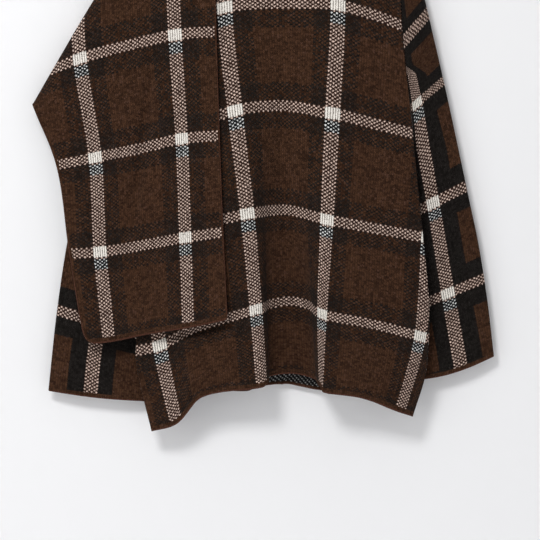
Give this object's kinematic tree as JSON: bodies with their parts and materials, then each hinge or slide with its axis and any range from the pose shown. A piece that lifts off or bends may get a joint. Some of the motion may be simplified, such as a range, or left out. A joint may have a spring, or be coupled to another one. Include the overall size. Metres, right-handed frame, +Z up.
{
  "type": "half-cape knit sweater on a hanger",
  "caption": "Wide boxy knit sweater in a windowpane check, with an asymmetric half cape over one shoulder, hung on a plain wooden hanger with a metal hook.",
  "frame": {"origin": "inside top of the hanger's hook, where a rail or peg carries it", "axes": "+Z up, -Y the front of the garment, +X to the viewer's right when the front is seen"},
  "size_m": [0.7405, 0.0789, 0.9331],
  "materials": {
    "knit": "matt wool-blend jacquard knit, windowpane check of cream and brown on dark brown",
    "wood": "satin lacquered beech",
    "steel": "polished wire"
  },
  "bodies": {
    "root": {"front_panel": "knit", "back_panel": "knit", "sleeve_left": "knit", "sleeve_right": "knit", "cape_front": "knit", "cape_back": "knit", "hanger": "wood", "hanger_hook": "steel"}
  },
  "joints": []
}
